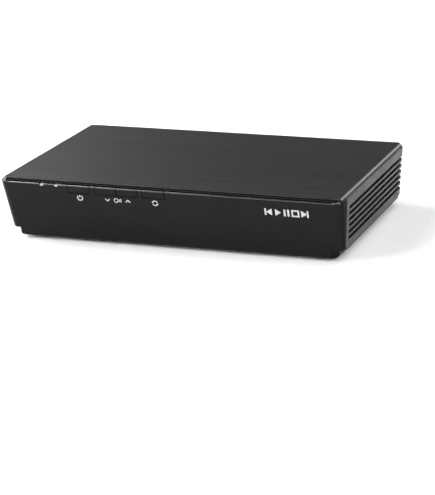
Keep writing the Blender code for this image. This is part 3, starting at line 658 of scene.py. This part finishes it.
def make_keys():
    """Each key: a leaning face whose top edge carries on the bezel's rounded edge, a flange and a post."""
    for name in KEYS:
        low, high = corners(f"{name}_key")
        wall, back = BEZEL_WALL + KEY_GAP, 3.5
        outline = [(front_y(KEY_FACE_Z), KEY_FACE_Z)]
        outline.append((front_y(KEY_FACE_Z) + wall, KEY_FACE_Z))
        outline.append((front_y(low.z) + wall, low.z))
        outline.append((front_y(low.z) + back, low.z))
        outline.append((front_y(NOTCH_Z) + back, NOTCH_Z))
        for depth, inset in reversed(rounding(EDGE_RADIUS, 6)):
            outline.append((front_y(NOTCH_Z - depth) + inset, NOTCH_Z - depth))
        bm = bmesh.new()
        skin(bm, [[(x, y, z) for y, z in outline] for x in (low.x, high.x)])
        bmesh.ops.recalc_face_normals(bm, faces=bm.faces)
        soften(bm, 0.16, 2, 50)
        plunger = middle(f"{name}_plunger")
        thick, tip = 1.3, 1.1
        post = [(thick, front_y(plunger.z) + back - 0.4), (thick, high.y - 0.2), (tip, high.y)]
        turned(bm, post, (plunger.x, 0.0, plunger.z), "Y", 24)
        look, body, edges = LOOKS["gloss_black"], f"{name}_button", [(POLISHED, on_rounded_edge)]
        piece(f"{name}_key_finished", bm, look, body, (f"{name}_key",), edges=edges)


# ---------------------------------------------------------------- side panels


def panel_columns():
    """Stations along a side panel, front to back and round the rear corner, with the slots' span."""
    straight = [("lead", KEY_GAP), ("lead", KEY_GAP + 0.8), ("lead", SLOT_LEAD)]
    straight += [("run", i / 12) for i in range(1, 13)]
    turn = [("turn", 90.0 * i / 12) for i in range(1, 13)]
    wrap = [("wrap", SLOT_WRAP), ("wrap", SIDE_WRAP)]
    columns = straight + turn + wrap
    first = straight.index(("lead", SLOT_LEAD))
    return columns, first, len(columns) - 2


def panel_point(column, z, inset):
    """A point on the right panel's skin, inset inwards."""
    kind, value = column
    outer, corner_y = half_width(z), BACK_Y - REAR_RADIUS
    if kind == "lead":
        return Vector((outer - inset, seam_y(z) + value, z))
    if kind == "run":
        start = seam_y(z) + SLOT_LEAD
        return Vector((outer - inset, start + (corner_y - start) * value, z))
    if kind == "turn":
        a, bend = math.radians(value), REAR_RADIUS - inset
        return Vector((outer - REAR_RADIUS + bend * math.cos(a), corner_y + bend * math.sin(a), z))
    return Vector((outer - value, BACK_Y - inset, z))


def panel_rows():
    """(height, outer inset) of the panel's rows, and the rows that open a slot above them."""
    rows = [(SKIRT_Z, 0.45), (SKIRT_Z + 0.15, 0.12), (SKIRT_Z + 0.5, 0.0)]
    slots = []
    for i in range(SLOT_COUNT):
        centre = SLOT_FIRST_Z + SLOT_PITCH * i
        slots.append(len(rows))
        rows += [(centre - SLOT_HEIGHT / 2, 0.0), (centre + SLOT_HEIGHT / 2, 0.0)]
    rows += [(RIM_Z - depth, inset) for depth, inset in rounding(PANEL_EDGE_RADIUS, 5)]
    return rows, slots


def make_side_panel(name, side):
    """A louvred panel built as a grid of outer and inner points, open where a slot is."""
    columns, slot_start, slot_end = panel_columns()
    rows, slots = panel_rows()
    bm = bmesh.new()
    mirror = Vector((side, 1, 1)) * MM

    def grid(levels):
        return [[bm.verts.new(panel_point(c, z, inset) * mirror) for c in columns] for z, inset in levels]

    outer = grid([(z, inset) for z, inset in rows])
    drops = [SLOT_DROP if row in slots else 0.0 for row in range(len(rows))]
    inner = grid([(z - drop, PANEL_WALL) for (z, _), drop in zip(rows, drops)])

    def solid(row, column):
        inside = 0 <= row < len(rows) - 1 and 0 <= column < len(columns) - 1
        return inside and not (row in slots and slot_start <= column < slot_end)

    for r in range(len(rows) - 1):
        for c in range(len(columns) - 1):
            if not solid(r, c):
                continue
            for skin_points in (outer, inner):
                low, high = skin_points[r], skin_points[r + 1]
                bm.faces.new((low[c], low[c + 1], high[c + 1], high[c]))
            edges = {(r - 1, c): ((r, c), (r, c + 1)), (r + 1, c): ((r + 1, c), (r + 1, c + 1))}
            edges.update({(r, c - 1): ((r, c), (r + 1, c)), (r, c + 1): ((r, c + 1), (r + 1, c + 1))})
            for beyond, ((r0, c0), (r1, c1)) in edges.items():
                if not solid(*beyond):
                    bm.faces.new((outer[r0][c0], outer[r1][c1], inner[r1][c1], inner[r0][c0]))
    bmesh.ops.recalc_face_normals(bm, faces=bm.faces)
    soften(bm, 0.3, 3, 50)
    piece(f"{name}_finished", bm, LOOKS["satin_grey"], replaces=(name,))
    make_louvre_ribs(f"{name}_ribs", side)


def make_louvre_ribs(name, side):
    """Upright ribs that tie the louvres together from behind, and a dark screen behind them; ribs and
    screen take a near-black look, a painted shade for the inside seen through the slots.
    """
    count, depth, thick, overlap = 5, 2.0, 2.0, 0.3
    at_corner, screen_thickness = 0.1, 0.6
    first = seam_y(SKIRT_Z) + SLOT_LEAD
    pitch = (BACK_Y - REAR_RADIUS - first) / count
    low, high = SLOT_FIRST_Z - 3.0, RIM_Z - 4.0
    bm = bmesh.new()
    for i in range(count):
        y = first + pitch * (i + 0.5)
        low_x, high_x = half_width(low) - PANEL_WALL, half_width(high) - PANEL_WALL
        outline = [(low_x + overlap, low), (low_x - depth, low)]
        outline += [(high_x - depth, high), (high_x + overlap, high)]
        skin(bm, [[(side * x, at, z) for x, z in outline] for at in (y, y + thick)])
    mirror = Vector((side, 1, 1))
    columns, slot_start, slot_end = panel_columns()
    screen = []
    for column in columns[slot_start:slot_end + 1]:
        straight = column[0] in ("lead", "run") and column[1] != 1.0
        near = PANEL_WALL + (depth if straight else at_corner)
        far = near + screen_thickness
        section = ((near, low), (near, high), (far, high), (far, low))
        screen.append([panel_point(column, z, inset) * mirror for inset, z in section])
    skin(bm, screen)
    # ribs and screen in the near-black look that paints the shade seen through the slots
    piece(name, bm, SLOT_SHADE_SCREEN, round_edges=0.2)


# ---------------------------------------------------------------- printed symbols


def on_front(x, z):
    """Places a flat drawing on the leaning front face, its middle at x and height z."""
    up = Vector((0.0, -LEAN, 1.0)).normalized()
    out = Vector((0.0, -1.0, -LEAN)).normalized()
    centre = Vector((x, front_y(z), z))
    return lambda a, b, lift: centre + Vector((a, 0.0, 0.0)) + up * b + out * lift


def on_back(x, z):
    """Places a flat drawing on the rear panel, read from behind."""
    return lambda a, b, lift: Vector((x - a, REAR_FACE_Y + lift, z + b))


def line(bm, place, points, width, closed=False):
    """A printed stroke along points, with mitred bends."""
    count = len(points)
    rings = []
    for i, (a, b) in enumerate(points):
        before = points[i - 1] if closed or i else points[i]
        after = points[(i + 1) % count] if closed or i < count - 1 else points[i]
        here = Vector((a, b))
        leaving = Vector(after) - here if after != points[i] else here - Vector(before)
        coming = here - Vector(before) if before != points[i] else leaving
        normal = Vector((-coming.y, coming.x)).normalized() + Vector((-leaving.y, leaving.x)).normalized()
        normal = normal.normalized()
        square = Vector((-leaving.y, leaving.x)).normalized()
        offset = normal * (width / 2 / max(0.35, normal.dot(square)))
        left, right = here + offset, here - offset
        rings.append([place(*p, lift) for p, lift in ((left, 0), (right, 0), (right, 1), (left, 1))])
    skin(bm, rings, closed)


def inked(place):
    """Turns lift 0 and 1 into the ink's underside and top."""
    return lambda a, b, lift: place(a, b, INK[lift])


def shape(bm, place, outline):
    """A filled printed shape."""
    skin(bm, [[place(a, b, lift) for a, b in outline] for lift in (0, 1)])


def power_symbol(bm, place, size, width):
    line(bm, place, arc(0, 0, size, 125, 415, 28), width)
    line(bm, place, [(0, size * 0.25), (0, size * 1.2)], width)


def chevron(bm, place, size, width, up):
    line(bm, place, [(-size, -up * size / 2), (0, up * size / 2), (size, -up * size / 2)], width)


def sound_symbol(bm, place, size, width):
    """A ring with two short waves beside it."""
    line(bm, place, arc(-size * 0.55, 0, size * 0.75, 0, 345, 23), width, closed=True)
    for reach in (1.25, 1.85):
        line(bm, place, arc(-size * 0.55, 0, size * reach, -24, 24, 6), width)


def input_symbol(bm, place, size, width):
    """Two arrows that chase each other round a circle."""
    for turn in (20, 200):
        line(bm, place, arc(0, 0, size, turn, turn + 130, 14), width)
        a = math.radians(turn + 130)
        tip = Vector((size * math.cos(a), size * math.sin(a)))
        along = Vector((-math.sin(a), math.cos(a)))
        out = Vector((math.cos(a), math.sin(a)))
        head = [tip + along * 0.95, tip + out * 0.75, tip - out * 0.75]
        shape(bm, place, [tuple(p) for p in head])


def transport_symbols(bm, surface):
    """Back, play, pause, stop and forward, in a row at the front's right end."""
    width, tall = 1.0, 2.35
    low, high = MARK_SPAN

    def at(step):
        return inked(surface(low + (high - low) * step / 4, MARK_Z))

    def triangle(bm, place, facing, shift=0.0):
        back, tip = shift - facing * 1.5, shift + facing * 2.1
        shape(bm, place, [(back, tall), (tip, 0.0), (back, -tall)])

    for step, facing in ((0, -1), (4, 1)):
        triangle(bm, at(step), facing, -0.4 * facing)
        line(bm, at(step), [(facing * 2.1, tall), (facing * 2.1, -tall)], width)
    triangle(bm, at(1), 1)
    for x in (-1.15, 1.15):
        line(bm, at(2), [(x, tall), (x, -tall)], 1.2)
    square = [(-1.9, -1.9), (1.9, -1.9), (1.9, 1.9), (-1.9, 1.9)]
    line(bm, at(3), square, width, closed=True)


def make_front_symbols():
    bm = bmesh.new()
    key_x = {name: middle(f"{name}_key").x for name in KEYS}
    power_symbol(bm, inked(on_front(key_x["power"], SYMBOL_Z)), 1.65, 0.65)
    chevron(bm, inked(on_front(key_x["volume_down"] + 0.6, SYMBOL_Z)), 1.5, 0.65, -1)
    chevron(bm, inked(on_front(key_x["volume_up"] + 0.1, SYMBOL_Z)), 1.5, 0.65, 1)
    between = (key_x["volume_down"] + key_x["volume_up"]) / 2
    sound_symbol(bm, inked(on_front(between + 0.3, SYMBOL_Z)), 1.7, 0.5)
    input_symbol(bm, inked(on_front(key_x["input"] + 0.6, SYMBOL_Z)), 1.6, 0.6)
    transport_symbols(bm, on_front)
    piece("front_symbols", bm, PRINT)


# ---------------------------------------------------------------- rear sockets


def make_port_details():
    """Contacts, insulators and lights inside the rear sockets."""
    contacts, plastic, lights = bmesh.new(), bmesh.new(), bmesh.new()
    low, high = corners("hdmi_port")
    centre = middle("hdmi_port")
    half_contact = 0.22
    for i in range(10):
        x = centre.x - 4.5 + i
        across = (x - half_contact, x + half_contact)
        for z in (low.z + 2.52, low.z + 3.82):
            block(contacts, across, (high.y - 8.0, high.y - 2.2), (z, z + 0.06))
    for node in ("usb_port_1", "usb_port_2"):
        low, high = corners(node)
        x = middle(node).x
        z = high.z - 2.96
        half_contact, half_tongue = 0.5, 5.54
        for i in range(4):
            at = x - 3.6 + 2.4 * i
            across = (at - half_contact, at + half_contact)
            block(contacts, across, (high.y - 8.0, high.y - 1.4), (z, z + 0.08))
        tongue = (high.z - 2.94, high.z - 1.06)
        block(plastic, (x - half_tongue, x + half_tongue), (low.y + 3.2, high.y - 1.16), tongue)
    low, high = corners("lan_port")
    x = middle("lan_port").x
    top, wire_half, light_half = low.z + 10.4, 0.2, 1.4
    for i in range(8):
        at = x - 3.56 + 1.02 * i
        points = [(high.y - 2.5, top), (high.y - 9.5, top - 3.2), (high.y - 11.5, top - 0.2)]
        outline = points + [(y, z + 0.3) for y, z in reversed(points)]
        sides = (at - wire_half, at + wire_half)
        skin(contacts, [[(p, y, z) for y, z in outline] for p in sides])
    for side in (-1, 1):
        at = x + side * 5.6
        across = (at - light_half, at + light_half)
        block(lights, across, (high.y - 0.5, high.y + 0.12), (high.z - 2.2, high.z - 0.7))
    piece("socket_contacts", contacts, GOLD)
    piece("usb_tongues", plastic, INSULATOR, round_edges=0.1)
    piece("lan_lights", lights, LOOKS["led_resin"], round_edges=0.12)


def make_antenna_socket(number):
    """A threaded barrel with a white insulator round its contact."""
    node = f"antenna_socket_{number}"
    low, high = corners(node)
    centre = middle(node)
    radius, pitch = high.x - centre.x, 0.8
    bore, collar = 3.7, 0.9
    root = radius - 0.42
    profile = [(0.0, low.y), (radius, low.y), (radius, BACK_Y + collar)]
    count = int((high.y - 0.5 - BACK_Y - collar) / pitch)
    for i in range(count):
        y = BACK_Y + collar + pitch * i
        profile += [(root, y + 0.2), (root, y + 0.3), (radius, y + 0.68), (radius, y + pitch)]
    profile += [(radius, high.y - 0.45), (radius - 0.4, high.y), (bore, high.y), (bore, high.y - 0.6)]
    profile += [(0.0, high.y - 0.6)]
    bm = bmesh.new()
    turned(bm, profile, (centre.x, 0.0, centre.z), "Y", 56)
    piece(f"{node}_finished", bm, LOOKS["port_steel"], replaces=(node,))
    face = high.y - 0.45
    core = [(0.75, face - 4.0), (0.75, face), (3.55, face), (3.65, face - 0.12), (3.65, face - 0.4)]
    core += [(1.6, face - 0.4), (1.6, face - 4.0)]
    bm = bmesh.new()
    rings, steps = [], 40
    for i in range(steps):
        a = 2 * math.pi * i / steps
        turn = Vector((math.cos(a), 0.0, math.sin(a)))
        rings.append([Vector((centre.x, y, centre.z)) + turn * r for r, y in core])
    skin(bm, rings, cyclic=True)
    piece(f"{node}_insulator", bm, INSULATOR)


def make_rear_symbols():
    """Plain pictograms over the sockets: screen, network, plug-in storage, sound, power and aerial."""
    bm = bmesh.new()
    width = 0.4

    def over(node, rise=3.0):
        return inked(on_back(middle(node).x, corners(node)[1].z + rise))

    place = over("hdmi_port")
    line(bm, place, [(-2, -1.1), (2, -1.1), (2, 1.4), (-2, 1.4)], width, closed=True)
    line(bm, place, [(-1.1, -1.8), (1.1, -1.8)], width)
    place = over("lan_port", 2.2)
    line(bm, place, [(-2, -0.5), (-2, 0.1), (2, 0.1), (2, -0.5)], width)
    line(bm, place, [(0, 0.1), (0, 0.7)], width)
    half, tall = 0.45, 0.4
    for x, z in ((-2, -0.9), (2, -0.9), (0, 1.1)):
        left, right, low, high = x - half, x + half, z - tall, z + tall
        shape(bm, place, [(left, low), (right, low), (right, high), (left, high)])
    for node in ("usb_port_1", "usb_port_2"):
        place = over(node)
        line(bm, place, [(-1.6, -0.8), (1.0, -0.8), (1.0, 0.8), (-1.6, 0.8)], width, closed=True)
        line(bm, place, [(1.0, -0.45), (2.0, -0.45), (2.0, 0.45), (1.0, 0.45)], width)
    place = over("optical_port")
    for size in (0.7, 1.5):
        line(bm, place, arc(0, 0, size, 0, 345, 23), width, closed=True)
    place = over("dc_jack")
    line(bm, place, arc(0, 0, 0.9, 35, 325, 20), width)
    shape(bm, place, arc(0, 0, 0.4, 0, 330, 11))
    line(bm, place, [(0.4, 0), (2.0, 0)], width)
    line(bm, place, [(-0.9, 0), (-2.0, 0)], width)
    for node in ("antenna_socket_1", "antenna_socket_2"):
        place = over(node, 3.0)
        line(bm, place, [(0, -1.4), (0, 0.5)], width)
        line(bm, place, [(-1.3, 1.5), (0, -0.3), (1.3, 1.5)], width)
    piece("rear_symbols", bm, PRINT)


# ---------------------------------------------------------------- underside


def make_foot(number):
    """A domed rubber foot with a shallow moulded ring on its face."""
    node = f"foot_{number}"
    low, high = corners(node)
    centre, radius = middle(node), (high.x - low.x) / 2
    profile = [(0.0, high.z), (radius - 0.1, high.z), (radius, high.z - 0.15), (radius, 0.6)]
    profile += [(radius - 0.12, 0.3), (radius - 0.5, 0.06), (radius - 0.9, 0.0), (radius - 2.0, 0.0)]
    profile += [(radius - 2.3, 0.25), (radius - 2.7, 0.25), (radius - 3.0, 0.0), (0.0, 0.0)]
    bm = bmesh.new()
    turned(bm, profile, (centre.x, centre.y, 0.0), "Z", 48)
    piece(f"{node}_finished", bm, LOOKS["rubber"], replaces=(node,))


def make_screw(node, head_up):
    """A pan-head screw with a cross recess, its head at its low or its high end."""
    low, high = corners(node)
    centre, head, shank = middle(node), (high.x - low.x) / 2, SHANK[head_up]
    height = HEAD_HEIGHT[head_up]
    face, seat = (high.z, high.z - height) if head_up else (low.z, low.z + height)
    out = 1 if head_up else -1
    tip = low.z if head_up else high.z
    profile = [(0.0, face), (head * 0.55, face), (head * 0.85, face - out * 0.25)]
    profile += [(head, face - out * 0.8), (head, seat), (shank, seat)]
    profile += [(shank, tip + out * 0.6), (shank * 0.6, tip), (0.0, tip)]
    bm = bmesh.new()
    turned(bm, profile, (centre.x, centre.y, 0.0), "Z", 32)
    bmesh.ops.recalc_face_normals(bm, faces=bm.faces)
    depth = sorted((face + out * 0.5, face - out * 0.9))
    long, thin = head * 0.6, 0.42
    x, y = centre.x, centre.y
    arms = (((x - long, x + long), (y - thin, y + thin)), ((x - thin, x + thin), (y - long, y + long)))
    bm = carve(bm, [lambda cutter, a=a, b=b: block(cutter, a, b, depth) for a, b in arms])
    piece(f"{node}_finished", bm, LOOKS["screw_steel"], replaces=(node,))


def make_rating_label():
    """A blank label on the underside, between the vents and the rear feet."""
    bm = bmesh.new()
    outline = rounded_rectangle(-34.0, 34.0, 8.0, 40.0, 2.0)
    base = PLINTH_Z
    skin(bm, [[(x, y, z) for x, y in outline] for z in (base - 0.12, base + 0.02)])
    piece("blank_rating_label", bm, LABEL)


# ---------------------------------------------------------------- floor, lights and camera


def make_floor():
    """A pale disc, so that its edge lies low in views from near the ground."""
    bm = bmesh.new()
    bmesh.ops.create_circle(bm, cap_ends=True, segments=96, radius=FLOOR_RADIUS * MM)
    mesh = bpy.data.meshes.new("floor")
    bm.to_mesh(mesh)
    bm.free()
    mesh.materials.append(FLOOR)
    floor = bpy.data.objects.new("floor", mesh)
    bpy.context.scene.collection.objects.link(floor)


def make_light(name, place, power, size, tall=None, only_gloss=False):
    """A softbox aimed at the player, square unless tall is given. place, size and tall are in metres."""
    light = bpy.data.lights.new(name, "AREA")
    light.energy = power
    light.size = size
    if tall:
        light.shape = "RECTANGLE"
        light.size_y = tall
    lamp = bpy.data.objects.new(name, light)
    lamp.location = place
    lamp.rotation_euler = (Vector((0, 0, 0.02)) - Vector(place)).to_track_quat("-Z", "Y").to_euler()
    lamp.visible_camera = False
    lamp.visible_diffuse = not only_gloss
    bpy.context.scene.collection.objects.link(lamp)


def make_sky():
    """A dim studio with a pale horizon, so that low views have a pale backdrop."""
    world = bpy.data.worlds.new("studio")
    world.use_nodes = True
    nodes, links = world.node_tree.nodes, world.node_tree.links
    place = nodes.new("ShaderNodeTexCoord")
    split = nodes.new("ShaderNodeSeparateXYZ")
    links.new(place.outputs["Generated"], split.inputs["Vector"])
    glow = spread(nodes, links, split.outputs["Z"], HORIZON_GLOW, ROOM_GLOW, 0.075, 0.11)
    links.new(glow, nodes["Background"].inputs["Strength"])
    nodes["Background"].inputs["Color"].default_value = (1.0, 1.0, 1.0, 1.0)
    bpy.context.scene.world = world


def make_studio():
    make_light("key_softbox", (-1.6, 0.05, 1.15), 55.0, 1.3)
    make_light("front_softbox", (0.45, -2.0, 1.1), 14.0, 1.0)
    make_light("front_left_strip", (-1.24, -1.66, 1.1), 30.0, 0.26, 1.7)
    make_light("edge_reflector", (-1.24, -1.66, 1.1), 150.0, 0.26, 1.7, only_gloss=True)
    make_light("front_right_softbox", (1.1, -1.7, 1.0), 26.0, 0.9)
    make_light("right_softbox", (1.7, -0.3, 1.1), 18.0, 1.2)
    make_light("top_softbox", (0.6, 0.5, 2.1), 18.0, 1.2)
    make_light("back_left_softbox", (-1.3, 1.7, 0.9), 2.4, 0.8)
    make_light("back_right_softbox", (0.8, 1.9, 0.85), 5.0, 0.8)
    make_sky()
    bpy.context.scene.view_settings.view_transform = "Standard"


def make_camera():
    yaw, pitch, roll = (math.radians(a) for a in (CAMERA_YAW, CAMERA_PITCH, CAMERA_ROLL))
    ahead = Vector((-math.sin(yaw) * math.cos(pitch), math.cos(yaw) * math.cos(pitch), -math.sin(pitch)))
    right = Vector((math.cos(yaw), math.sin(yaw), 0.0))
    up = right.cross(ahead)
    turned_right = right * math.cos(roll) + up * math.sin(roll)
    turned_up = up * math.cos(roll) - right * math.sin(roll)
    turn = Matrix((turned_right, turned_up, -ahead)).transposed().to_4x4()
    data = bpy.data.cameras.new("camera")
    data.lens = CAMERA_LENS
    data.sensor_width = CAMERA_SENSOR
    camera = bpy.data.objects.new("camera", data)
    camera.matrix_world = Matrix.Translation(CAMERA_PLACE) @ turn
    bpy.context.scene.collection.objects.link(camera)
    bpy.context.scene.camera = camera


def main():
    make_camera()
    for node, obj in NODES.items():
        obj.data.materials.clear()
        obj.data.materials.append(LOOKS[SLOT_OF[node]])
    make_top_plate()
    make_front_bezel()
    make_keys()
    make_side_panel("right_side_panel", 1)
    make_side_panel("left_side_panel", -1)
    make_front_symbols()
    for node in ("rear_panel", "base_tray", "hdmi_port", "usb_port_1", "usb_port_2"):
        refined(node, 0.15)
    for node in ("lan_port", "optical_port", "optical_shutter", "dc_jack"):
        refined(node, 0.2)
    for node in ("standby_light_pipe", "network_light_pipe"):
        refined(node, 0.3, segments=3)
    make_port_details()
    make_rear_symbols()
    for number in (1, 2):
        make_antenna_socket(number)
    for number in (1, 2, 3, 4):
        make_foot(number)
        make_screw(f"case_screw_{number}", False)
        make_screw(f"board_screw_{number}", True)
    make_rating_label()
    make_floor()
    make_studio()


main()
